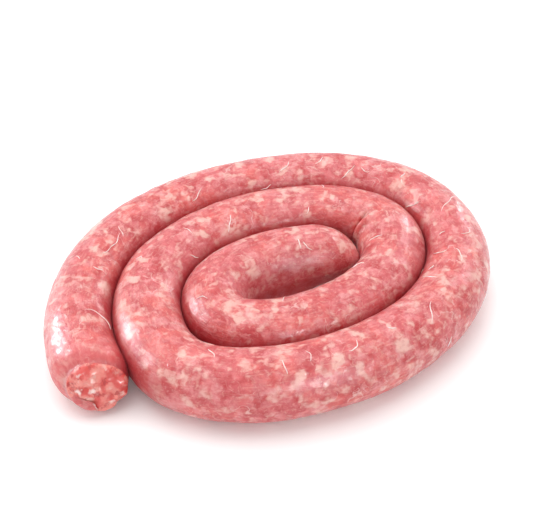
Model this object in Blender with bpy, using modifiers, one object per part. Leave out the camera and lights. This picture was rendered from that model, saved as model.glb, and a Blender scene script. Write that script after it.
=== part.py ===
"""A fresh sausage coiled flat: one length of stuffed casing laid in an oval spiral of a little over
two turns. The inner end is drawn to a rounded tip. The outer end is cut straight across, so the
minced filling shows there inside the rim of the casing. Metres and degrees; +Z up, resting on Z = 0."""

import bmesh
import bpy
import numpy as np
from mathutils import Matrix

# The coil. The half-width is the distance from the middle of the coil to the line that touches the
# centre line square to a direction. It grows by one pitch a turn, so each turn lies on the last.
PITCH = 0.03575
HALF_WIDTH = 0.05544
OVAL, OVAL_AT = 0.01153, 35.0
CORNER, CORNER_AT = 0.00106, 15.8
SQUARENESS, SQUARENESS_AT = 0.00117, -24.9
# The run behind the tip and the first bend lie drawn in, which leaves a cleft beside each.
DRAWN_IN = ((0.0022, -264.0, 34.0), (0.00422, -123.5, 32.4))  # how far, at what angle, how spread
START_ANGLE, END_ANGLE = -274.0, 573.0
# Before the first angle the strand runs back to its tip in one even bend.
TIP_BEND, TIP_RUN = 0.070, 0.0175

# The stuffed strand. Its radius swells and narrows along the length, from the tip to the cut.
STRAND_RADII = (0.0172, 0.0172, 0.0178, 0.0176, 0.0179, 0.0183, 0.0180, 0.0172)
SETTLED_HEIGHT = 0.95  # height of the centre over the radius: the strand sags onto its rest
TURN_GAP = 0.0005
EASE_ANGLE = 40.0
TIP_LENGTH = 0.026
TIP_FLAT = 0.15  # place of the first ring on the tip's rounding, over the strand's radius
TIP_SHARPNESS = 0.60  # 0.5 rounds the tip like an egg, and more makes it pointed
TIP_SINK = 0.05  # how far the tip's centre sinks, over the centre height
CUT_ROUND = 0.0022  # how much the skin draws in at the cut
CUT_ROUND_LENGTH = 0.007
CUT_MIDDLE_RING = 0.4  # place of the ring inside that rounding, back from the cut

CASING_WALL = 0.0004
CASING_SLACK = 0.0003
# The mince stands out of the cut in a low dome: (share of its width, height) of each ring.
MINCE_DOME = ((0.95, 0.0012), (0.78, 0.0026), (0.45, 0.0034))
MINCE_BULGE = 0.0036

SIDES = 12
SECTION_GROWTH = 1.023  # keeps a 12-sided section's area equal to a round one's
ANGLE_STEP = 9.0
TIP_RINGS = 4
PATH_STEPS, TIP_PATH_STEPS = 8000, 200  # fine steps that the strand's length is measured over
SLOPE_STEP = 0.01

CASING_COLOUR, CASING_ROUGHNESS = (0.66, 0.24, 0.23, 1.0), 0.3
FILLING_COLOUR, FILLING_ROUGHNESS = (0.62, 0.16, 0.14, 1.0), 0.5


def half_width(angle):
    turned = np.radians(angle)
    width = HALF_WIDTH + PITCH * angle / 360.0
    width = width + OVAL * np.cos(2 * (turned - np.radians(OVAL_AT)))
    width = width + CORNER * np.cos(3 * (turned - np.radians(CORNER_AT)))
    width = width + SQUARENESS * np.cos(4 * (turned - np.radians(SQUARENESS_AT)))
    for depth, at, spread in DRAWN_IN:
        width = width - depth * np.exp(-(((angle - at) / spread) ** 2))
    return width


def centre_line(angle):
    """Points of the centre line where the outside faces each angle, and the outward directions."""
    rise = half_width(angle + SLOPE_STEP) - half_width(angle - SLOPE_STEP)
    slope = rise / np.radians(2 * SLOPE_STEP)
    turned = np.radians(angle)
    outward = np.stack([np.cos(turned), np.sin(turned)], axis=-1)
    along = np.stack([-np.sin(turned), np.cos(turned)], axis=-1)
    return half_width(angle)[:, None] * outward + slope[:, None] * along, outward


def eased(amount):
    amount = np.clip(amount, 0.0, 1.0)
    return amount * amount * (3.0 - 2.0 * amount)


def strand_radius(share):
    """Radius at each share of the length, blended smoothly between the named radii."""
    place = share * (len(STRAND_RADII) - 1)
    first = np.clip(place.astype(int), 0, len(STRAND_RADII) - 2)
    radii = np.array(STRAND_RADII)
    return radii[first] + (radii[first + 1] - radii[first]) * eased(place - first)


def pressed_sides(angle, reach, radius):
    """Half-widths towards the outside and the inside of the coil, less where turns press."""
    outside_room = (half_width(angle + 360.0) - reach - TURN_GAP) / 2
    inside_room = (reach - half_width(angle - 360.0) - TURN_GAP) / 2
    has_outer = eased((END_ANGLE - 360.0 + EASE_ANGLE - angle) / EASE_ANGLE)
    has_inner = eased((angle - START_ANGLE - 360.0 + EASE_ANGLE) / EASE_ANGLE)
    outside = radius - has_outer * np.clip(radius - outside_room, 0.0, None)
    inside = radius - has_inner * np.clip(radius - inside_room, 0.0, None)
    return outside, inside


def whole_path():
    """Fine steps of the centre line from tip to cut: angles, points, outward directions, lengths."""
    angle = np.linspace(START_ANGLE, END_ANGLE, PATH_STEPS)
    path, outward = centre_line(angle)
    swing = np.linspace(TIP_RUN / TIP_BEND, 0.0, TIP_PATH_STEPS)[:-1]
    tip_angle = np.radians(START_ANGLE) - swing
    tip_outward = np.stack([np.cos(tip_angle), np.sin(tip_angle)], axis=-1)
    tip_path = path[0] + TIP_BEND * (tip_outward - outward[0])
    angle = np.concatenate([np.degrees(tip_angle), angle])
    path = np.concatenate([tip_path, path])
    outward = np.concatenate([tip_outward, outward])
    steps = np.linalg.norm(np.diff(path, axis=0), axis=1)
    return angle, path, outward, np.concatenate([[0.0], np.cumsum(steps)])


def stations():
    """Angle, point, outward direction and length run at each ring. Rings crowd at both ends."""
    angle, path, outward, run = whole_path()
    first = np.interp(TIP_LENGTH, run, angle)
    last = np.interp(run[-1] - CUT_ROUND_LENGTH, run, angle)
    middle = np.linspace(first, last, int(round((last - first) / ANGLE_STEP)) + 1)
    sweep = np.linspace(np.arcsin(TIP_FLAT), np.pi / 2, TIP_RINGS + 1)[:-1]
    tip = TIP_LENGTH * (1.0 - np.cos(sweep))
    cut = run[-1] - CUT_ROUND_LENGTH * np.array([CUT_MIDDLE_RING, 0.0])
    at = np.concatenate([tip, np.interp(middle, angle, run), cut])
    points = np.stack([np.interp(at, run, path[:, 0]), np.interp(at, run, path[:, 1])], axis=-1)
    turned = np.radians(np.interp(at, run, angle))
    outward = np.stack([np.cos(turned), np.sin(turned)], axis=-1)
    return np.degrees(turned), points, outward, at


def add_ring(mesh, centre, outward, outside, inside, up_reach, low):
    """Adds one section: its side reaches, its upward reach and its lowest height above the rest."""
    ring = []
    for side in range(SIDES):
        turned = 2 * np.pi * (side + 0.5) / SIDES
        across = SECTION_GROWTH * np.cos(turned)
        across = across * (outside if across > 0 else inside)
        height = max(centre[2] + SECTION_GROWTH * np.sin(turned) * up_reach, low)
        place = (centre[0] + outward[0] * across, centre[1] + outward[1] * across, height)
        ring.append(mesh.verts.new(place))
    return ring


def join_rings(mesh, first, second):
    for side in range(SIDES):
        after = (side + 1) % SIDES
        mesh.faces.new((first[side], first[after], second[after], second[side]))


def skin(mesh):
    """Adds the strand's outer surface, closed at the tip and open at the cut. Returns its rim."""
    angles, path, outward, run = stations()
    length = run[-1]
    radius = strand_radius(run / length)
    outside, inside = pressed_sides(angles, (path * outward).sum(axis=1), radius)
    taper = (1.0 - np.clip(1.0 - run / TIP_LENGTH, 0.0, 1.0) ** 2) ** TIP_SHARPNESS
    drawn_in = np.clip(1.0 - (length - run) / CUT_ROUND_LENGTH, 0.0, 1.0) ** 2
    share = taper - drawn_in * CUT_ROUND / radius
    height = SETTLED_HEIGHT * radius * (1.0 - TIP_SINK * (1.0 - taper))
    made = []
    for at in range(len(angles)):
        centre = (path[at][0], path[at][1], height[at])
        low = height[at] * (1.0 - share[at])
        reaches = (outside[at] * share[at], inside[at] * share[at], radius[at] * share[at])
        made.append(add_ring(mesh, centre, outward[at], *reaches, low))
    for first, second in zip(made, made[1:]):
        join_rings(mesh, first, second)
    tip = mesh.verts.new((path[0][0], path[0][1], height[0]))
    for side in range(SIDES):
        mesh.faces.new((tip, made[0][(side + 1) % SIDES], made[0][side]))
    return made[-1]


def finished(mesh, name, colour, roughness):
    """Turns the faces outward and makes the named object with its own material."""
    bmesh.ops.recalc_face_normals(mesh, faces=mesh.faces)
    data = bpy.data.meshes.new(name)
    mesh.to_mesh(data)
    mesh.free()
    material = bpy.data.materials.new(name)
    material.use_nodes = True
    shader = material.node_tree.nodes["Principled BSDF"]
    shader.inputs["Base Color"].default_value = colour
    shader.inputs["Roughness"].default_value = roughness
    data.materials.append(material)
    made = bpy.data.objects.new(name, data)
    bpy.context.scene.collection.objects.link(made)
    return made


def outward_facing(mesh):
    """Makes an open tube's normals face away from its centre line, judged at the topmost point."""
    bmesh.ops.recalc_face_normals(mesh, faces=mesh.faces)
    mesh.normal_update()
    top = max(mesh.faces, key=lambda face: face.calc_center_median().z)
    if top.normal.z < 0:
        bmesh.ops.reverse_faces(mesh, faces=mesh.faces)
    mesh.normal_update()


def make_casing():
    """The casing: a thin skin round the whole strand, open only at the cut."""
    mesh = bmesh.new()
    skin(mesh)
    outward_facing(mesh)
    casing = finished(mesh, "casing", CASING_COLOUR, CASING_ROUGHNESS)
    wall = casing.modifiers.new("wall", "SOLIDIFY")
    wall.thickness = CASING_WALL
    wall.offset = -1.0
    wall.use_even_offset = True
    return casing


def make_filling():
    """The minced filling: one solid strand that fits in the casing and shows at the cut."""
    mesh = bmesh.new()
    rim = skin(mesh)
    outward_facing(mesh)
    inset = CASING_WALL + CASING_SLACK
    moved = [vert.co - vert.normal * inset * vert.calc_shell_factor() for vert in mesh.verts]
    for vert, place in zip(mesh.verts, moved):
        vert.co = place
    last = np.array([END_ANGLE])
    heading = centre_line(last)[1][0]
    ahead = np.array([-heading[1], heading[0], 0.0])
    edge = [np.array(vert.co) for vert in rim]
    centre = np.mean(edge, axis=0)
    before = rim
    for width, stand_out in MINCE_DOME:
        ring = [mesh.verts.new(centre + (place - centre) * width + ahead * stand_out) for place in edge]
        join_rings(mesh, before, ring)
        before = ring
    crown = mesh.verts.new(centre + ahead * MINCE_BULGE)
    for side in range(SIDES):
        mesh.faces.new((crown, before[side], before[(side + 1) % SIDES]))
    return finished(mesh, "filling", FILLING_COLOUR, FILLING_ROUGHNESS)


def centre_footprint(pieces):
    """Moves the pieces together so that the middle of their footprint stands over the origin."""
    places = [vert.co.copy() for piece in pieces for vert in piece.data.vertices]
    low_x, high_x = min(p.x for p in places), max(p.x for p in places)
    low_y, high_y = min(p.y for p in places), max(p.y for p in places)
    shift = Matrix.Translation((-(low_x + high_x) / 2, -(low_y + high_y) / 2, 0.0))
    for piece in pieces:
        piece.data.transform(shift)


for old in list(bpy.data.objects):
    bpy.data.objects.remove(old)
centre_footprint([make_casing(), make_filling()])
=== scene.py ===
"""A raw fresh sausage coiled flat: one length of stuffed casing in an oval spiral of a little over two
turns. The inner end is a rounded tip, and the outer end is cut, so that the mince shows there.
Metres and degrees; +Z up, resting on Z = 0."""

import bmesh
import bpy
import numpy as np
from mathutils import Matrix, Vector, noise


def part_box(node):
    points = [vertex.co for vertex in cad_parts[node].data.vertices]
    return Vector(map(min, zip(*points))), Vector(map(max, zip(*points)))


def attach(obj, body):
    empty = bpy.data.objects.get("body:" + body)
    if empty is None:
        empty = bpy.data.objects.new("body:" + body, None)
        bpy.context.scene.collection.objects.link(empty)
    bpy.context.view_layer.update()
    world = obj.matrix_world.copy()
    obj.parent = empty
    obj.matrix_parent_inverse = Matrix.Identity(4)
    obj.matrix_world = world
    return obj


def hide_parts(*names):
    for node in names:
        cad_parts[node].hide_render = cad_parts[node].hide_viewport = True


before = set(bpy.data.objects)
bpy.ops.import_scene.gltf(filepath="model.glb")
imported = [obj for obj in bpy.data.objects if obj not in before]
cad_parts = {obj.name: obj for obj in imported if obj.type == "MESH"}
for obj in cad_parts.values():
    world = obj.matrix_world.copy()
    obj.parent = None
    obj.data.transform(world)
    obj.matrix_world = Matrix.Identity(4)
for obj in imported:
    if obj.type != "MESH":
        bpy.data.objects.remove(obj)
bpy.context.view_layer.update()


# ---- Stuffed casing ----------------------------------------------------------------------------
# A washed hog gut, wet and tight over coarse pork mince, so thin that lean and fat show through it.
# It is filled in one length and laid down from the inside out. Neighbouring turns press each other
# where they meet, and the strand sags to a narrow flat strip where it rests.

PITCH = 0.03575
HALF_WIDTH = 0.05544
OVAL, OVAL_AT = 0.01153, 35.0
CORNER, CORNER_AT = 0.00106, 15.8
SQUARENESS, SQUARENESS_AT = 0.00117, -24.9
DRAWN_IN = ((0.0022, -264.0, 34.0), (0.00422, -123.5, 32.4))
START_ANGLE, END_ANGLE, PAST_CUT = -274.0, 573.0, 7.0
TIP_BEND, TIP_RUN = 0.070, 0.0175
STRAND_RADII = (0.0172, 0.0172, 0.0178, 0.0176, 0.0179, 0.0183, 0.0180, 0.0172)
SETTLED_HEIGHT = 0.95
TIP_LENGTH, TIP_SINK, TIP_SHARPNESS = 0.028, 0.10, 0.70
CUT_ROUND, CUT_ROUND_LENGTH = 0.0042, 0.011
CUT_SLANT, CUT_LEAN, CUT_TURN_LENGTH = 0.0052, 0.0030, 0.024
TURN_OVERLAP, EASE_ANGLE = 0.0003, 40.0
PRESS_SOFTNESS, FREE_ROOM = 0.0005, 0.004
CONTACT_BULGE, MOST_STRETCH = 0.0009, 0.09

# Relief of the stuffed strand: size of the lumps, and how far they stand out.
RELIEF = ((0.034, 0.00045), (0.0125, 0.00026), (0.0060, 0.00018), (0.0030, 0.00007))

# Buckle of the casing inside the second turn's tight bend: place, lean, depth, width, reach, and the
# swelling beside it.
PINCH_RUN, PINCH_TURN, PINCH_LEAN = 0.2745, 150.0, 0.000085
PINCH_DEPTH, PINCH_WIDTH, PINCH_SPREAD = 0.0028, 0.0019, 38.0
PINCH_SWELL, PINCH_SWELL_BACK, PINCH_SWELL_WIDTH = 0.0030, 0.0068, 0.0046

# Swelling of the second turn towards the tip's nose.
NOSE_RUN, NOSE_TURN, NOSE_SWELL = 0.2500, 180.0, 0.0028
NOSE_LENGTH, NOSE_SPREAD = 0.0150, 50.0

CASING_WALL = 0.0004
WALL_INSIDE = 0.0009
SEGMENTS = 52
RING_SPACING = 0.00082
INNER_RING_SPACING = 0.0048
TIP_RINGS = 22
RAGGED_EDGE, RAGGED_LENGTH = 0.0010, 0.0050

# The torn lower lip of the casing at the cut, which folds up over the mince: where it is, how wide,
# how far it folds over the mince's dome, and how far it stands off.
LIP_TURN, LIP_SPREAD, LIP_RINGS = -42.0, 50.0, 9
LIP_FOLD, LIP_BULGE, LIP_OFF, LIP_UNEVEN = 62.0, 0.0052, 0.0018, 14.0

# Slump of the innermost run's underside into the coil's eye.
SLUMP_FROM, SLUMP_TO, SLUMP_EASE = 0.022, 0.112, 0.020
SLUMP_DEPTH, SLUMP_TURN, SLUMP_SPREAD = 0.0060, 226.0, 38.0

# Where the painted shade starts on the skin towards a neighbouring turn, and where the coil's eye ends.
PAINTED_SHADE_FROM, EYE_END = 0.66, 0.230


def half_width(angle):
    turned = np.radians(angle)
    width = HALF_WIDTH + PITCH * angle / 360.0
    width = width + OVAL * np.cos(2 * (turned - np.radians(OVAL_AT)))
    width = width + CORNER * np.cos(3 * (turned - np.radians(CORNER_AT)))
    width = width + SQUARENESS * np.cos(4 * (turned - np.radians(SQUARENESS_AT)))
    for depth, at, spread in DRAWN_IN:
        width = width - depth * np.exp(-(((angle - at) / spread) ** 2))
    return width


def eased(amount):
    amount = np.clip(amount, 0.0, 1.0)
    return amount * amount * (3.0 - 2.0 * amount)


def outward_of(angle):
    return np.stack([np.cos(np.radians(angle)), np.sin(np.radians(angle))], axis=-1)


def whole_path():
    """Fine steps of the centre line from tip to past the cut: the outside's angle, points, run."""
    angle = np.linspace(START_ANGLE, END_ANGLE + PAST_CUT, 8100)
    slope = (half_width(angle + 0.01) - half_width(angle - 0.01)) / np.radians(0.02)
    outward = outward_of(angle)
    path = half_width(angle)[:, None] * outward + slope[:, None] * outward_of(angle + 90.0)
    tip_angle = START_ANGLE - np.degrees(np.linspace(TIP_RUN / TIP_BEND, 0.0, 200)[:-1])
    path = np.concatenate([path[0] + TIP_BEND * (outward_of(tip_angle) - outward[0]), path])
    angle = np.concatenate([tip_angle, angle])
    steps = np.linalg.norm(np.diff(path, axis=0), axis=1)
    return angle, path, np.concatenate([[0.0], np.cumsum(steps)])


path_angle, path_points, path_run = whole_path()
STRAND_LENGTH = np.interp(END_ANGLE, path_angle, path_run)


def strand_radius(run):
    place = np.clip(run / STRAND_LENGTH, 0.0, 1.0) * (len(STRAND_RADII) - 1)
    first = np.clip(place.astype(int), 0, len(STRAND_RADII) - 2)
    radii = np.array(STRAND_RADII)
    return radii[first] + (radii[first + 1] - radii[first]) * eased(place - first)


def coil_middle():
    """Middle of the coil's footprint, from the outline of the laid strand."""
    laid = path_run <= STRAND_LENGTH
    outline = path_points + outward_of(path_angle) * strand_radius(path_run)[:, None]
    return (outline[laid].min(axis=0) + outline[laid].max(axis=0)) / 2


casing_low, casing_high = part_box("casing")
COIL_PLACE = np.array(((casing_low + casing_high) / 2).xy) - coil_middle()


def soft(amount):
    """The amount where it is over zero, easing to nothing below zero."""
    small = np.log1p(np.exp(np.clip(amount / PRESS_SOFTNESS, -30.0, 30.0))) * PRESS_SOFTNESS
    return np.where(amount > 30.0 * PRESS_SOFTNESS, amount, small)


def uneven(points):
    """How far the strand stands out at each point, from its lumps."""
    made = np.zeros(len(points))
    for number, (size, height) in enumerate(RELIEF):
        shift = Vector((7.3 * number, 1.7, 4.1))
        made += [height * noise.noise(Vector(point) / size + shift) for point in points]
    return made


def buckle(run, around):
    off = run - PINCH_RUN - PINCH_LEAN * (around - PINCH_TURN)
    side = np.exp(-(((around - PINCH_TURN) / PINCH_SPREAD) ** 2))
    pinch = -PINCH_DEPTH * np.exp(-((off / PINCH_WIDTH) ** 2))
    swell = PINCH_SWELL * np.exp(-(((off + PINCH_SWELL_BACK) / PINCH_SWELL_WIDTH) ** 2))
    nose = NOSE_SWELL * np.exp(-(((run - NOSE_RUN) / NOSE_LENGTH) ** 2))
    nose = nose * np.exp(-(((around - NOSE_TURN) / NOSE_SPREAD) ** 2))
    return side * (pinch + swell) + nose


def slump(run, around):
    along = eased((run - SLUMP_FROM) / SLUMP_EASE) * eased((SLUMP_TO - run) / SLUMP_EASE)
    return SLUMP_DEPTH * along * np.exp(-(((around - SLUMP_TURN) / SLUMP_SPREAD) ** 2))


def cut_shift(around):
    """How far past the strand's end the slanting, upward-leaning cut lies."""
    turned = np.radians(around)
    return -CUT_SLANT * np.cos(turned) - CUT_LEAN * np.sin(turned)


def lip_of(around):
    """How fully the casing's torn lip stands at each turn round the cut, from 0 to 1."""
    off = (around - LIP_TURN + 180.0) % 360.0 - 180.0
    return np.exp(-((off / LIP_SPREAD) ** 2))


def neighbours(angle):
    """How fully a turn lies outside and inside of this one, from 0 to 1."""
    outside = eased((END_ANGLE - 360.0 + EASE_ANGLE - angle) / EASE_ANGLE)
    inside = eased((angle - START_ANGLE - 360.0 + EASE_ANGLE) / EASE_ANGLE)
    return outside, inside


def painted_valley_shade(run, around):
    """Painted shade, 0 on open skin and rising to 1 where the skin turns down to the next turn or the eye."""
    outside, inside = neighbours(np.interp(run, path_run, path_angle))
    sideways = np.cos(np.radians(around))
    low = np.sin(np.radians(around)) < 0.0
    eye = (1.0 - inside) * eased((EYE_END - run) / SLUMP_EASE)
    toward_out = np.where(low, 1.0, eased((sideways - PAINTED_SHADE_FROM) / (1.0 - PAINTED_SHADE_FROM)))
    toward_in = np.where(low, 1.0, eased((-sideways - PAINTED_SHADE_FROM) / (1.0 - PAINTED_SHADE_FROM)))
    shade_out = outside * toward_out * (sideways > 0.0)
    shade_in = np.maximum(inside, np.where(low, 0.8, 0.3) * eye) * toward_in * (sideways < 0.0)
    swelling = np.exp(-(((run - PINCH_RUN + PINCH_SWELL_BACK) / PINCH_SWELL_WIDTH) ** 2))
    shade_in = shade_in * (1.0 - swelling * np.where(low, 0.0, 1.0))
    return shade_out + shade_in


def lay_on_coil(run, around, inset, share=1.0, with_lumps=True):
    """Places on the strand: around is 0 at the coil's outside and 90 on top, and inset is inward.
    A share under 1 draws the place in towards the strand's middle."""
    angle = np.interp(run, path_run, path_angle)
    centre = np.stack([np.interp(run, path_run, path_points[:, side]) for side in (0, 1)], axis=-1)
    out = outward_of(angle)
    reach = (centre * out).sum(axis=-1)
    radius = strand_radius(run)
    taper = (1.0 - np.clip(1.0 - run / TIP_LENGTH, 0.0, 1.0) ** 2) ** TIP_SHARPNESS
    to_cut = STRAND_LENGTH + cut_shift(around) - run
    drawn = np.clip(1.0 - to_cut / CUT_ROUND_LENGTH, 0.0, 1.0) ** 2
    size = radius * taper - drawn * CUT_ROUND
    turned = np.radians(around)
    if with_lumps:
        flat = centre + out * (size * np.cos(turned))[:, None]
        rough = np.concatenate([flat, (size * np.sin(turned))[:, None]], axis=-1)
        size = size + uneven(rough) * np.clip(taper * 1.5 - 0.2, 0.0, 1.0)
        size = size + buckle(run, around) + slump(run, around)
    size = np.maximum(size - inset, 0.0) * share
    outer_room = (half_width(angle + 360.0) - reach + TURN_OVERLAP) / 2
    inner_room = (reach - half_width(angle - 360.0) + TURN_OVERLAP) / 2
    outside, inside = neighbours(angle)
    # A turn with a neighbour spreads until the two meet.
    wanted_out = (outer_room + CONTACT_BULGE) / radius - 1.0
    wanted_in = (inner_room + CONTACT_BULGE) / radius - 1.0
    spread_out = 1.0 + outside * np.clip(wanted_out, 0.0, MOST_STRETCH)
    spread_in = 1.0 + inside * np.clip(wanted_in, 0.0, MOST_STRETCH)
    across = size * np.cos(turned)
    across = across * np.where(across > 0, spread_out, spread_in)
    outer_room = outer_room + (1.0 - outside) * FREE_ROOM - inset
    inner_room = inner_room + (1.0 - inside) * FREE_ROOM - inset
    pushed_in = outer_room - soft(outer_room - across)
    pushed_out = soft(inner_room + across) - inner_room
    across = np.where(across > 0, pushed_in, pushed_out)
    height = SETTLED_HEIGHT * radius * (1.0 - TIP_SINK * (1.0 - taper)) + size * np.sin(turned)
    height = inset + soft(height - inset)
    flat = COIL_PLACE + centre + out * across[:, None]
    return np.concatenate([flat, height[:, None]], axis=-1)


def add_sheet(mesh, rings, segments):
    """Adds a flat sheet, one row for each ring: its corners, each one's ring and its turn round it."""
    made = bmesh.ops.create_grid(mesh, x_segments=segments, y_segments=rings - 1, size=0.5)
    flat = np.array([corner.co for corner in made["verts"]])
    ring = np.round((flat[:, 1] + 0.5) * (rings - 1)).astype(int)
    around = (flat[:, 0] + 0.5) * 360.0 - 90.0
    return made["verts"], ring, around


def roll_up(mesh, corners, places, laid_out, shades):
    """Moves a sheet's corners to their places on a tube, noting where they lie along it and their painted
    shade.
    """
    strand_layer = mesh.verts.layers.float_vector.get("strand")
    painted_shade_layer = mesh.verts.layers.float.get("painted_valley_shade")
    for corner, place, straight, shade in zip(corners, places, laid_out, shades):
        corner.co = place
        corner[strand_layer] = straight
        corner[painted_shade_layer] = shade


def finished(mesh, name):
    """Joins each tube's seam and ends, turns the faces outward, and makes the object."""
    rim = [corner for corner in mesh.verts if corner.is_boundary]
    bmesh.ops.remove_doubles(mesh, verts=rim, dist=0.000002)
    bmesh.ops.dissolve_degenerate(mesh, dist=0.0000001, edges=mesh.edges)
    bmesh.ops.recalc_face_normals(mesh, faces=mesh.faces)
    for face in mesh.faces:
        face.smooth = True
    data = bpy.data.meshes.new(name)
    mesh.to_mesh(data)
    mesh.free()
    piece = bpy.data.objects.new(name, data)
    bpy.context.scene.collection.objects.link(piece)
    return piece


def new_mesh():
    mesh = bmesh.new()
    mesh.verts.layers.float_vector.new("strand")
    mesh.verts.layers.float.new("painted_valley_shade")
    return mesh


def straightened(run, around, inset):
    """The place on the strand as if it lay straight, for patterns that follow it."""
    radius = strand_radius(run) - inset
    turned = np.radians(around)
    return np.stack([radius * np.cos(turned), radius * np.sin(turned), run], axis=-1)


tip_runs = TIP_LENGTH * (1.0 - np.cos(np.linspace(0.0, np.pi / 2, TIP_RINGS)))
ring_count = int((STRAND_LENGTH - TIP_LENGTH) / RING_SPACING)
outer_runs = np.concatenate([tip_runs, np.linspace(TIP_LENGTH, STRAND_LENGTH, ring_count)[1:]])
back_count = int(STRAND_LENGTH / INNER_RING_SPACING)
inner_runs = np.linspace(STRAND_LENGTH, TIP_LENGTH * 0.15, back_count)
lip_runs = np.full(LIP_RINGS, STRAND_LENGTH)
lip_folds = np.radians(LIP_FOLD) * np.linspace(0.0, 1.0, LIP_RINGS + 1)[1:]
front_count = len(outer_runs) + LIP_RINGS
ring_runs = np.concatenate([outer_runs, lip_runs, lip_runs, inner_runs, inner_runs[-1:]])
ring_folds = np.zeros(len(ring_runs))
ring_folds[len(outer_runs) : front_count + LIP_RINGS] = np.concatenate([lip_folds, lip_folds[::-1]])
ring_insets = np.zeros(len(ring_runs))
ring_insets[front_count:] = CASING_WALL
ring_insets[front_count + LIP_RINGS + 1 :] = WALL_INSIDE
ring_shares = np.ones(len(ring_runs))
ring_shares[-1] = 0.0

mesh = new_mesh()
corners, ring, around = add_sheet(mesh, len(ring_runs), SEGMENTS)
run = ring_runs[ring]
near_cut = eased(1.0 - (STRAND_LENGTH - run) / RAGGED_LENGTH)
turning = eased(1.0 - (STRAND_LENGTH - run) / CUT_TURN_LENGTH)
ragged = np.array([noise.noise(Vector((3.6 * x, 3.6 * y, 3.3))) for x, y in outward_of(around)])
lip = lip_of(around + LIP_UNEVEN * ragged)
fold = ring_folds[ring] * lip
run = run + turning * cut_shift(around) + near_cut * (RAGGED_EDGE * (1.0 + ragged) + LIP_OFF * lip)
run = run + LIP_BULGE * np.sin(fold) ** 1.3
inset = ring_insets[ring]
places = lay_on_coil(run, around, inset, ring_shares[ring] * np.cos(fold) ** 0.9)
# Each corner carries the painted valley shade, or −1 to mark the cut's edge.
at_rim = (ring == front_count - 1) | (ring == front_count)
shade = np.where(at_rim, -1.0, painted_valley_shade(run, around))
roll_up(mesh, corners, places, straightened(run, around, inset), shade)
casing = finished(mesh, "stuffed_casing")


def add_node(tree, kind, inputs=None, **settings):
    """A shader node with its settings, and with its inputs set to values or joined to outputs."""
    node = tree.nodes.new(kind)
    for name, value in settings.items():
        setattr(node, name, value)
    for name, value in (inputs or {}).items():
        if isinstance(value, bpy.types.NodeSocket):
            tree.links.new(value, node.inputs[name])
        else:
            node.inputs[name].default_value = value
    return node


def noise_of(tree, vector, size, detail=2.0, roughness=0.5, distortion=0.0, seed=0.0):
    """Noise from 0 to 1 with features of about that size, in metres."""
    inputs = {"Vector": vector, "W": seed, "Scale": 1.0 / size, "Detail": detail}
    inputs.update({"Roughness": roughness, "Distortion": distortion})
    node = add_node(tree, "ShaderNodeTexNoise", inputs, noise_dimensions="4D")
    return node.outputs["Fac"]


def step_of(tree, value, start, end):
    """0 below start and 1 above end, easing between them."""
    inputs = {"Value": value, "From Min": start, "From Max": end}
    node = add_node(tree, "ShaderNodeMapRange", inputs, interpolation_type="SMOOTHSTEP")
    return node.outputs["Result"]


def math_of(tree, operation, first, second=0.0):
    node = add_node(tree, "ShaderNodeMath", {0: first, 1: second}, operation=operation)
    return node.outputs[0]


def mix_of(tree, factor, first, second, blend="MIX"):
    inputs = {"Factor": factor, "A": first, "B": second}
    node = tree.nodes.new("ShaderNodeMix")
    node.data_type = "RGBA"
    node.blend_type = blend
    sockets = {socket.identifier: socket for socket in node.inputs}
    for name, value in inputs.items():
        socket = sockets["Factor_Float" if name == "Factor" else name + "_Color"]
        if isinstance(value, bpy.types.NodeSocket):
            tree.links.new(value, socket)
        else:
            socket.default_value = value
    return [socket for socket in node.outputs if socket.identifier == "Result_Color"][0]


def bits_of(tree, vector, size, chosen, soft_from, soft_to):
    """Rounded bits of about that size: a share of the cells, chosen at random, with soft edges."""
    inputs = {"Vector": vector, "Scale": 1.0 / size, "Randomness": 1.0}
    cells = add_node(tree, "ShaderNodeTexVoronoi", inputs, feature="F1")
    colour = add_node(tree, "ShaderNodeSeparateColor", {"Color": cells.outputs["Color"]})
    picked = math_of(tree, "LESS_THAN", colour.outputs["Red"], chosen)
    varied = math_of(tree, "MULTIPLY", colour.outputs["Green"], 0.16)
    near = step_of(tree, math_of(tree, "ADD", cells.outputs["Distance"], varied), soft_to, soft_from)
    return math_of(tree, "MULTIPLY", near, picked)


def grains_of(tree, vector, size):
    """A soft-edged mosaic of grains of about that size, each of its own shade from 0 to 1."""
    inputs = {"Vector": vector, "Scale": 1.0 / size, "Smoothness": 1.0}
    cells = add_node(tree, "ShaderNodeTexVoronoi", inputs, feature="SMOOTH_F1")
    return add_node(tree, "ShaderNodeSeparateColor", {"Color": cells.outputs["Color"]}).outputs["Blue"]


def warped(tree, vector, size, amount):
    """The vector pushed about by noise, so that patterns lose their regular outlines."""
    inputs = {"Vector": vector, "Scale": 1.0 / size, "Detail": 2.0}
    wobble = add_node(tree, "ShaderNodeTexNoise", inputs)
    centred = add_node(
        tree, "ShaderNodeVectorMath", {0: wobble.outputs["Color"], 1: (0.5, 0.5, 0.5)}, operation="SUBTRACT"
    )
    scaled = add_node(
        tree, "ShaderNodeVectorMath", {0: centred.outputs[0], "Scale": amount}, operation="SCALE"
    )
    moved = add_node(tree, "ShaderNodeVectorMath", {0: vector, 1: scaled.outputs[0]}, operation="ADD")
    return moved.outputs[0]


LEAN_DEEP = (0.50, 0.045, 0.052, 1.0)
LEAN_MID = (0.67, 0.140, 0.150, 1.0)
LEAN_ORANGE = (0.72, 0.122, 0.100, 1.0)
LEAN_WARM = (0.68, 0.100, 0.098, 1.0)
LEAN_PALE = (0.78, 0.30, 0.305, 1.0)
FAT_CREAM = (0.86, 0.53, 0.46, 1.0)
FAT_WHITE = (0.92, 0.73, 0.68, 1.0)
# Painted shade: the deep red that the skin turns in the valleys between turns and in the coil's eye.
PAINTED_SHADE_RED = (0.38, 0.016, 0.023, 1.0)
FIBRE_SLANT = (0.5, 0.3, 0.0)
WARM_LENGTH = 0.030


def share_of(tree, value, share):
    return math_of(tree, "MULTIPLY", value, share)


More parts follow.
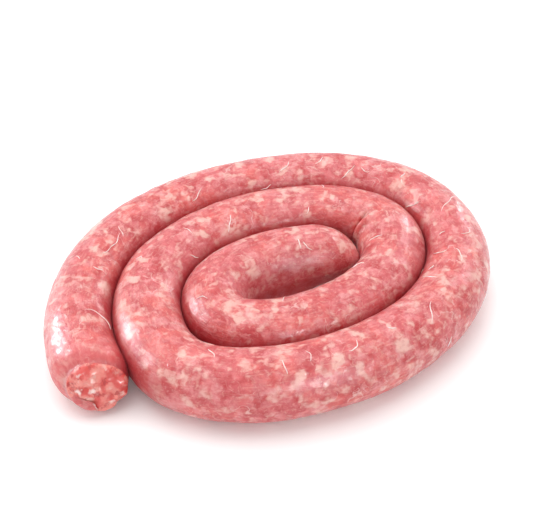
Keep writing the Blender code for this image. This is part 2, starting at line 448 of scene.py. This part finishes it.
def casing_material():
    material = bpy.data.materials.new("wet_casing_over_mince")
    material.use_nodes = True
    tree = material.node_tree
    shader = tree.nodes["Principled BSDF"]
    place = add_node(tree, "ShaderNodeTexCoord").outputs["Object"]
    strand = add_node(tree, "ShaderNodeAttribute", attribute_name="strand").outputs["Vector"]
    loose = warped(tree, place, 0.005, 0.0050)

    # Lean in clouds of deep and middling red, warmer in places, over a faint mosaic of coarse grains.
    lean = noise_of(tree, loose, 0.011, 4.0, 0.62)
    warm = noise_of(tree, place, 0.030, 2.0, 0.5, seed=11.0)
    middling = mix_of(tree, share_of(tree, step_of(tree, warm, 0.44, 0.64), 0.7), LEAN_MID, LEAN_ORANGE)
    colour = mix_of(tree, step_of(tree, lean, 0.37, 0.60), LEAN_DEEP, middling)
    mosaic = grains_of(tree, loose, 0.0036)
    colour = mix_of(tree, share_of(tree, step_of(tree, mosaic, 0.45, 0.85), 0.40), colour, LEAN_PALE)
    colour = mix_of(tree, share_of(tree, step_of(tree, mosaic, 0.50, 0.15), 0.35), colour, LEAN_DEEP)
    pale = noise_of(tree, loose, 0.0070, 4.0, 0.66, seed=4.0)
    colour = mix_of(tree, share_of(tree, step_of(tree, pale, 0.47, 0.70), 0.72), colour, LEAN_PALE)
    fat = noise_of(tree, loose, 0.0066, 2.0, 0.50, seed=5.5)
    colour = mix_of(tree, share_of(tree, step_of(tree, fat, 0.51, 0.70), 0.78), colour, FAT_CREAM)
    bits = bits_of(tree, loose, 0.0056, 0.24, 0.06, 0.50)
    colour = mix_of(tree, share_of(tree, bits, 0.72), colour, FAT_CREAM)

    # Fibres of the mince lie slantwise along the strand, and fine grains speckle it.
    along = add_node(tree, "ShaderNodeMapping", {"Vector": strand, "Rotation": FIBRE_SLANT})
    along.inputs["Scale"].default_value = (1.0, 1.0, 0.25)
    fibres = noise_of(tree, along.outputs[0], 0.0019, 4.0, 0.65, 0.6)
    colour = mix_of(tree, share_of(tree, step_of(tree, fibres, 0.50, 0.76), 0.45), colour, FAT_CREAM)
    colour = mix_of(tree, share_of(tree, step_of(tree, fibres, 0.48, 0.26), 0.55), colour, LEAN_DEEP)
    grain = noise_of(tree, loose, 0.0014, 3.0, 0.65, seed=3.0)
    colour = mix_of(tree, share_of(tree, step_of(tree, grain, 0.52, 0.72), 0.34), colour, FAT_CREAM)
    colour = mix_of(tree, share_of(tree, step_of(tree, grain, 0.46, 0.28), 0.40), colour, LEAN_DEEP)

    # Thin pale loops of membrane, and the dry pale edge at the cut.
    winding = noise_of(tree, loose, 0.015, 1.0, 0.5, 1.0, seed=9.0)
    off_line = math_of(tree, "ABSOLUTE", math_of(tree, "SUBTRACT", winding, 0.5))
    line = step_of(tree, off_line, 0.008, 0.002)
    here = step_of(tree, noise_of(tree, place, 0.02, 1.0, seed=2.0), 0.52, 0.60)
    colour = mix_of(tree, share_of(tree, math_of(tree, "MULTIPLY", line, here), 0.35), colour, FAT_WHITE)
    reach = add_node(tree, "ShaderNodeSeparateXYZ", {"Vector": strand}).outputs["Z"]
    near_cut = step_of(tree, reach, STRAND_LENGTH - WARM_LENGTH, STRAND_LENGTH)
    colour = mix_of(tree, share_of(tree, near_cut, 0.5), colour, LEAN_WARM)
    # Painted valley shade from the mesh, with −1 marking the cut's edge.
    painted_shade_or_rim = add_node(tree, "ShaderNodeAttribute", attribute_name="painted_valley_shade").outputs["Fac"]
    rim = math_of(tree, "MULTIPLY", painted_shade_or_rim, -1.0)
    dry = step_of(tree, noise_of(tree, place, 0.006, 1.0, seed=1.0), 0.42, 0.60)
    rim = math_of(tree, "MULTIPLY", step_of(tree, rim, 0.10, 0.80), share_of(tree, dry, 0.60))
    colour = mix_of(tree, rim, colour, FAT_WHITE)
    # Painted shade: the skin darkens to deep red in the valleys between turns and in the coil's eye.
    shade = math_of(tree, "MAXIMUM", painted_shade_or_rim, 0.0)
    colour = mix_of(tree, share_of(tree, shade, 0.90), colour, PAINTED_SHADE_RED)

    tree.links.new(colour, shader.inputs["Base Color"])
    shader.inputs["Subsurface Weight"].default_value = 0.30
    shader.inputs["Subsurface Radius"].default_value = (1.0, 0.36, 0.28)
    shader.inputs["Subsurface Scale"].default_value = 0.0016
    shader.inputs["IOR"].default_value = 1.40
    rough = noise_of(tree, place, 0.007, 3.0, 0.6, seed=6.0)
    base_rough = add_node(tree, "ShaderNodeMapRange", {"Value": rough, "To Min": 0.42, "To Max": 0.62})
    tree.links.new(base_rough.outputs[0], shader.inputs["Roughness"])
    damp = noise_of(tree, loose, 0.0034, 4.0, 0.65, seed=12.0)
    wet = add_node(
        tree,
        "ShaderNodeMapRange",
        {"Value": damp, "From Min": 0.36, "From Max": 0.60, "To Min": 0.15, "To Max": 1.0},
    )
    open_skin = math_of(tree, "SUBTRACT", 1.0, shade)
    tree.links.new(math_of(tree, "MULTIPLY", open_skin, wet.outputs[0]), shader.inputs["Coat Weight"])
    shader.inputs["Coat Roughness"].default_value = 0.085
    shader.inputs["Specular IOR Level"].default_value = 0.32
    shader.inputs["Coat IOR"].default_value = 1.38
    shader.inputs["Sheen Weight"].default_value = 0.05
    shader.inputs["Sheen Roughness"].default_value = 0.5
    shader.inputs["Sheen Tint"].default_value = (1.0, 0.85, 0.92, 1.0)

    # Grains of mince under the casing, and the casing's own fine wrinkles.
    grains = noise_of(tree, loose, 0.0034, 3.0, 0.55, seed=7.0)
    wrinkles = noise_of(tree, along.outputs[0], 0.0013, 3.0, 0.6, 0.8, seed=8.0)
    lumps = add_node(tree, "ShaderNodeBump", {"Height": grains, "Distance": 0.0008, "Strength": 0.6})
    fine = add_node(
        tree,
        "ShaderNodeBump",
        {"Height": wrinkles, "Distance": 0.00045, "Strength": 0.8, "Normal": lumps.outputs[0]},
    )
    tree.links.new(fine.outputs[0], shader.inputs["Normal"])
    tree.links.new(fine.outputs[0], shader.inputs["Coat Normal"])
    return material


casing.data.materials.append(casing_material())
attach(casing, "root")
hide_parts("casing")


# ---- Mince filling -----------------------------------------------------------------------------
# Coarse raw pork mince with cubes of back fat. It fills the whole casing and swells out of the cut
# end in a low rough dome.

FILLING_GAP = 0.00003
FILLING_INSIDE = 0.0016
FILLING_SEGMENTS = 64
DOME_RINGS = 30
DOME_START, DOME_BULGE = 0.0013, 0.0048
MINCE_RELIEF = ((0.0080, 0.0022), (0.0044, 0.0018), (0.0022, 0.0008))

body_runs = np.arange(TIP_LENGTH * 0.2, STRAND_LENGTH - 0.012, 0.0045)
near_runs = np.linspace(STRAND_LENGTH - 0.010, STRAND_LENGTH - 0.0002, 16)
climb = np.linspace(0.0, np.pi / 2, DOME_RINGS)
dome_shares = np.cos(climb) ** 0.9 + 0.12 * np.sin(climb) * np.cos(climb) ** 2
dome_shares[-1] = 0.0
dome_runs = STRAND_LENGTH + DOME_START + DOME_BULGE * np.sin(climb) ** 1.3
fill_runs = np.concatenate([body_runs[:1], body_runs, near_runs, dome_runs])
fill_shares = np.concatenate([[0.0], np.ones(len(body_runs) + 16), dome_shares])
fill_insets = np.full(len(fill_runs), CASING_WALL + FILLING_GAP)
fill_insets[: len(body_runs) + 1] = FILLING_INSIDE
fill_insets[-DOME_RINGS:] = 0.0001

mesh = new_mesh()
corners, ring, around = add_sheet(mesh, len(fill_runs), FILLING_SEGMENTS)
run, share, inset = fill_runs[ring], fill_shares[ring], fill_insets[ring]
turning = eased(1.0 - (STRAND_LENGTH - run) / CUT_TURN_LENGTH)
run = run + turning * share * cut_shift(around)
places = lay_on_coil(run, around, inset, share)
lumps = np.zeros(len(places))
for number, (size, height) in enumerate(MINCE_RELIEF):
    shift = Vector((2.1, 5.7 * number, 0.4))
    lumps += [height * noise.noise(Vector(place) / size + shift) for place in places]
cut_ahead = np.array([*outward_of(END_ANGLE + 90.0), 0.0])
bare = eased((fill_runs[ring] - STRAND_LENGTH) / (0.35 * DOME_BULGE))
under_lip = lip_of(around) * eased((share - 0.25) / 0.25)
places = places + (lumps * bare * (1.0 - 0.9 * under_lip))[:, None] * cut_ahead
roll_up(mesh, corners, places, straightened(run, around, inset), 0.0 * run)
filling = finished(mesh, "mince_filling")

MINCE_RED = (0.68, 0.070, 0.060, 1.0)
MINCE_DARK = (0.46, 0.022, 0.022, 1.0)
MINCE_PINK = (0.82, 0.25, 0.21, 1.0)


def mince_material():
    material = bpy.data.materials.new("raw_coarse_mince")
    material.use_nodes = True
    tree = material.node_tree
    shader = tree.nodes["Principled BSDF"]
    place = add_node(tree, "ShaderNodeTexCoord").outputs["Object"]
    loose = warped(tree, place, 0.004, 0.0025)
    lean = noise_of(tree, loose, 0.0065, 2.0, 0.5)
    colour = mix_of(tree, step_of(tree, lean, 0.42, 0.60), MINCE_RED, MINCE_PINK)
    dark = noise_of(tree, loose, 0.0036, 3.0, 0.6, seed=3.0)
    colour = mix_of(tree, math_of(tree, "MULTIPLY", step_of(tree, dark, 0.54, 0.66), 0.8), colour, MINCE_DARK)
    fat = bits_of(tree, warped(tree, place, 0.003, 0.0060), 0.0068, 0.36, 0.16, 0.44)
    colour = mix_of(tree, share_of(tree, fat, 0.92), colour, FAT_WHITE)
    veil = noise_of(tree, loose, 0.0050, 4.0, 0.65, seed=8.0)
    colour = mix_of(tree, share_of(tree, step_of(tree, veil, 0.52, 0.68), 0.60), colour, FAT_CREAM)
    tree.links.new(colour, shader.inputs["Base Color"])
    shader.inputs["Subsurface Weight"].default_value = 0.35
    shader.inputs["Subsurface Radius"].default_value = (1.0, 0.25, 0.18)
    shader.inputs["Subsurface Scale"].default_value = 0.0020
    shader.inputs["Roughness"].default_value = 0.45
    shader.inputs["Specular IOR Level"].default_value = 0.35
    shader.inputs["Coat Weight"].default_value = 0.45
    shader.inputs["Coat Roughness"].default_value = 0.14
    grains = noise_of(tree, loose, 0.0015, 4.0, 0.6, seed=5.0)
    bump = add_node(tree, "ShaderNodeBump", {"Height": grains, "Distance": 0.0006, "Strength": 0.7})
    tree.links.new(bump.outputs[0], shader.inputs["Normal"])
    return material


filling.data.materials.append(mince_material())
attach(filling, "root")
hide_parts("filling")


# ---- Sinew threads -----------------------------------------------------------------------------
# Short white curls of sinew and membrane from the mince, caught under the wet casing so that they
# show as fine raised threads. Each is a thin tube half sunk in the surface.

THREAD_RADIUS, THREAD_RISE = 0.00030, 0.00010
THREAD_STEP, THREAD_SIDES = 0.0005, 6
# Where each thread starts along the strand from the tip (mm) and round it (degrees), the way it heads
# (0 towards the cut, 90 round towards the coil's eye), its length (mm) and how far it bends (degrees).
THREADS = (
    (35, 112, 100, 8, 60),
    (38, 104, 110, 7, -30),
    (204, 134, 10, 10, -120),
    (239, 142, -60, 9, -40),
    (319, 138, 225, 5, 40),
    (368, 108, 60, 12, -20),
    (410, 136, 120, 7, 30),
    (516, 108, -10, 8, -70),
    (553, 85, -65, 8, -30),
    (591, 88, -90, 9, -110),
    (609, 88, -70, 5, 60),
    (640, 84, 210, 14, 30),
    (660, 135, 250, 9, 20),
    (668, 135, -60, 5, 50),
    (687, 138, 200, 10, 120),
    (687, 99, 225, 12, -40),
    (701, 91, 250, 9, 130),
    (724, 111, -40, 20, -20),
    (751, 154, 200, 12, 50),
    (769, 111, 250, 5, 30),
    (810, 138, 220, 13, 20),
    (828, 110, 215, 9, 30),
    (852, 120, 190, 11, 60),
    (916, 135, 190, 12, 40),
    (994, 111, 155, 22, 45),
    (1006, 108, 50, 6, 80),
    (1042, 106, 100, 20, -90),
)
MORE_THREADS = 26
THREAD_POINTS, ARC = 60, 0.00031
WAVER = 12.0


def thread_route(start, turn, heading, length, bend, chance):
    """Runs and turns of a thread's middle line, bending evenly and wavering a little."""
    share = np.linspace(0.0, 1.0, THREAD_POINTS)
    waver = WAVER * np.sin(2 * np.pi * (chance.uniform(1.0, 2.2) * share + chance.uniform()))
    course = np.radians(heading + bend * share + waver)
    stride = length / (THREAD_POINTS - 1)
    run = start + np.concatenate([[0.0], np.cumsum(stride * np.cos(course[1:]))])
    around = turn + np.concatenate([[0.0], np.cumsum(stride * np.sin(course[1:]))]) / ARC
    return run, around


def add_thread(mesh, run, around, radius):
    sunk = np.full(len(run), -THREAD_RISE)
    route = lay_on_coil(run, around, sunk)
    spans = np.linalg.norm(np.diff(route, axis=0), axis=1)
    length = np.concatenate([[0.0], np.cumsum(spans)])
    stops = np.linspace(0.0, length[-1], max(5, int(length[-1] / THREAD_STEP)))
    run, around = np.interp(stops, length, run), np.interp(stops, length, around)
    sunk = np.full(len(run), -THREAD_RISE)
    route = lay_on_coil(run, around, sunk)
    rise = route - lay_on_coil(run, around, sunk + 0.002)
    rise = rise / np.linalg.norm(rise, axis=1)[:, None]
    heading = np.gradient(route, axis=0)
    aside = np.cross(heading, rise)
    aside = aside / np.linalg.norm(aside, axis=1)[:, None]
    corners, ring, turn = add_sheet(mesh, len(stops), THREAD_SIDES)
    width = radius * np.sqrt(np.sin(np.pi * np.clip(stops / length[-1], 0.0, 1.0)).clip(0.0, 1.0))
    turned = np.radians(turn)
    offset = aside[ring] * np.cos(turned)[:, None] + rise[ring] * np.sin(turned)[:, None]
    places = route[ring] + offset * width[ring][:, None]
    laid_out = straightened(run[ring], around[ring], 0.0)
    roll_up(mesh, corners, places, laid_out, painted_valley_shade(run, around)[ring])


mesh = new_mesh()
chance = np.random.default_rng(7)
for start, turn, heading, length, bend in THREADS:
    run, around = thread_route(0.001 * start, turn, heading, 0.001 * length, bend, chance)
    add_thread(mesh, run, around, THREAD_RADIUS * chance.uniform(0.85, 1.15))
for number in range(MORE_THREADS):
    start, turn = chance.uniform(0.060, 1.040), chance.uniform(-25.0, 205.0)
    heading, bend = chance.uniform(0.0, 360.0), chance.normal(0.0, 100.0)
    run, around = thread_route(start, turn, heading, chance.uniform(0.004, 0.010), bend, chance)
    add_thread(mesh, run, around, THREAD_RADIUS * chance.uniform(0.6, 0.9))
threads = finished(mesh, "sinew_threads")


SINEW_WHITE = (0.97, 0.87, 0.84, 1.0)
SINEW_PINK = (0.90, 0.62, 0.59, 1.0)


def sinew_material():
    material = bpy.data.materials.new("white_sinew")
    material.use_nodes = True
    tree = material.node_tree
    shader = tree.nodes["Principled BSDF"]
    place = add_node(tree, "ShaderNodeTexCoord").outputs["Object"]
    sunk_in = noise_of(tree, place, 0.003, 2.0)
    colour = mix_of(tree, step_of(tree, sunk_in, 0.35, 0.65), SINEW_WHITE, SINEW_PINK)
    tree.links.new(colour, shader.inputs["Base Color"])
    shader.inputs["Roughness"].default_value = 0.35
    shader.inputs["Coat Weight"].default_value = 0.6
    shader.inputs["Coat Roughness"].default_value = 0.12
    shader.inputs["Subsurface Weight"].default_value = 0.2
    shader.inputs["Subsurface Scale"].default_value = 0.001
    return material


threads.data.materials.append(sinew_material())
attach(threads, "root")


# ---- Floor, light and camera -------------------------------------------------------------------
# A plain white sweep under soft studio light: a window-like softbox at the left and one behind.

bpy.ops.mesh.primitive_plane_add(size=6.0, location=(0.0, 0.0, 0.0))
floor = bpy.context.object
floor.name = "floor"
paper = bpy.data.materials.new("white_paper")
paper.use_nodes = True
paper.node_tree.nodes["Principled BSDF"].inputs["Base Color"].default_value = (0.97, 0.97, 0.97, 1.0)
paper.node_tree.nodes["Principled BSDF"].inputs["Roughness"].default_value = 0.8
paper.node_tree.nodes["Principled BSDF"].inputs["Specular IOR Level"].default_value = 0.1
paper.node_tree.nodes["Principled BSDF"].inputs["Emission Color"].default_value = (1.0, 1.0, 1.0, 1.0)
paper.node_tree.nodes["Principled BSDF"].inputs["Emission Strength"].default_value = 0.06
floor.data.materials.append(paper)

world = bpy.data.worlds.new("white_room")
world.use_nodes = True
world.node_tree.nodes["Background"].inputs["Color"].default_value = (1.0, 1.0, 1.0, 1.0)
world.node_tree.nodes["Background"].inputs["Strength"].default_value = 0.80
bpy.context.scene.world = world

# Direction it stands in, distance, width, height, power, and whether it only makes highlights.
LAMPS = (
    ("window_left", (-0.88, 0.32, 0.34), 0.9, 0.10, 0.08, 9.5, True),
    ("window_left_low", (-0.89, -0.12, 0.44), 0.9, 0.07, 0.06, 4.0, True),
    ("softbox_left", (-0.85, 0.10, 0.50), 1.0, 0.40, 0.40, 0.8, False),
    ("softbox_behind", (0.54, 0.78, 0.31), 1.0, 0.08, 0.07, 1.5, True),
    ("softbox_right", (0.64, 0.50, 0.59), 1.0, 0.07, 0.07, 1.2, True),
    ("softbox_front", (0.48, -0.76, 0.43), 1.1, 0.34, 0.08, 9.0, True),
    ("spot_front", (0.42, -0.68, 0.60), 1.0, 0.06, 0.05, 1.8, True),
    ("softbox_above", (-0.10, 0.25, 1.0), 1.0, 1.1, 1.1, 7.5, False),
)
for name, direction, distance, width, height, power, only_highlights in LAMPS:
    lamp = bpy.data.lights.new(name, "AREA")
    lamp.shape = "RECTANGLE"
    lamp.size, lamp.size_y, lamp.energy = width, height, power
    holder = bpy.data.objects.new(name, lamp)
    holder.visible_diffuse = not only_highlights
    toward = Vector(direction).normalized()
    holder.location = toward * distance
    holder.rotation_euler = toward.to_track_quat("Z", "Y").to_euler()
    bpy.context.scene.collection.objects.link(holder)

CAMERA_PLACE = Vector((-0.0004, -0.3710, 0.3282))
CAMERA_AIM = Vector((-0.0004, 0.0284, 0.0))
lens = bpy.data.cameras.new("camera")
lens.lens, lens.sensor_width = 56.47, 36.0
lens.clip_start = 0.01
camera = bpy.data.objects.new("camera", lens)
camera.location = CAMERA_PLACE
camera.rotation_euler = (CAMERA_AIM - CAMERA_PLACE).to_track_quat("-Z", "Y").to_euler()
bpy.context.scene.collection.objects.link(camera)
bpy.context.scene.camera = camera
bpy.context.scene.view_settings.view_transform = "Standard"
bpy.context.scene.view_settings.look = "None"
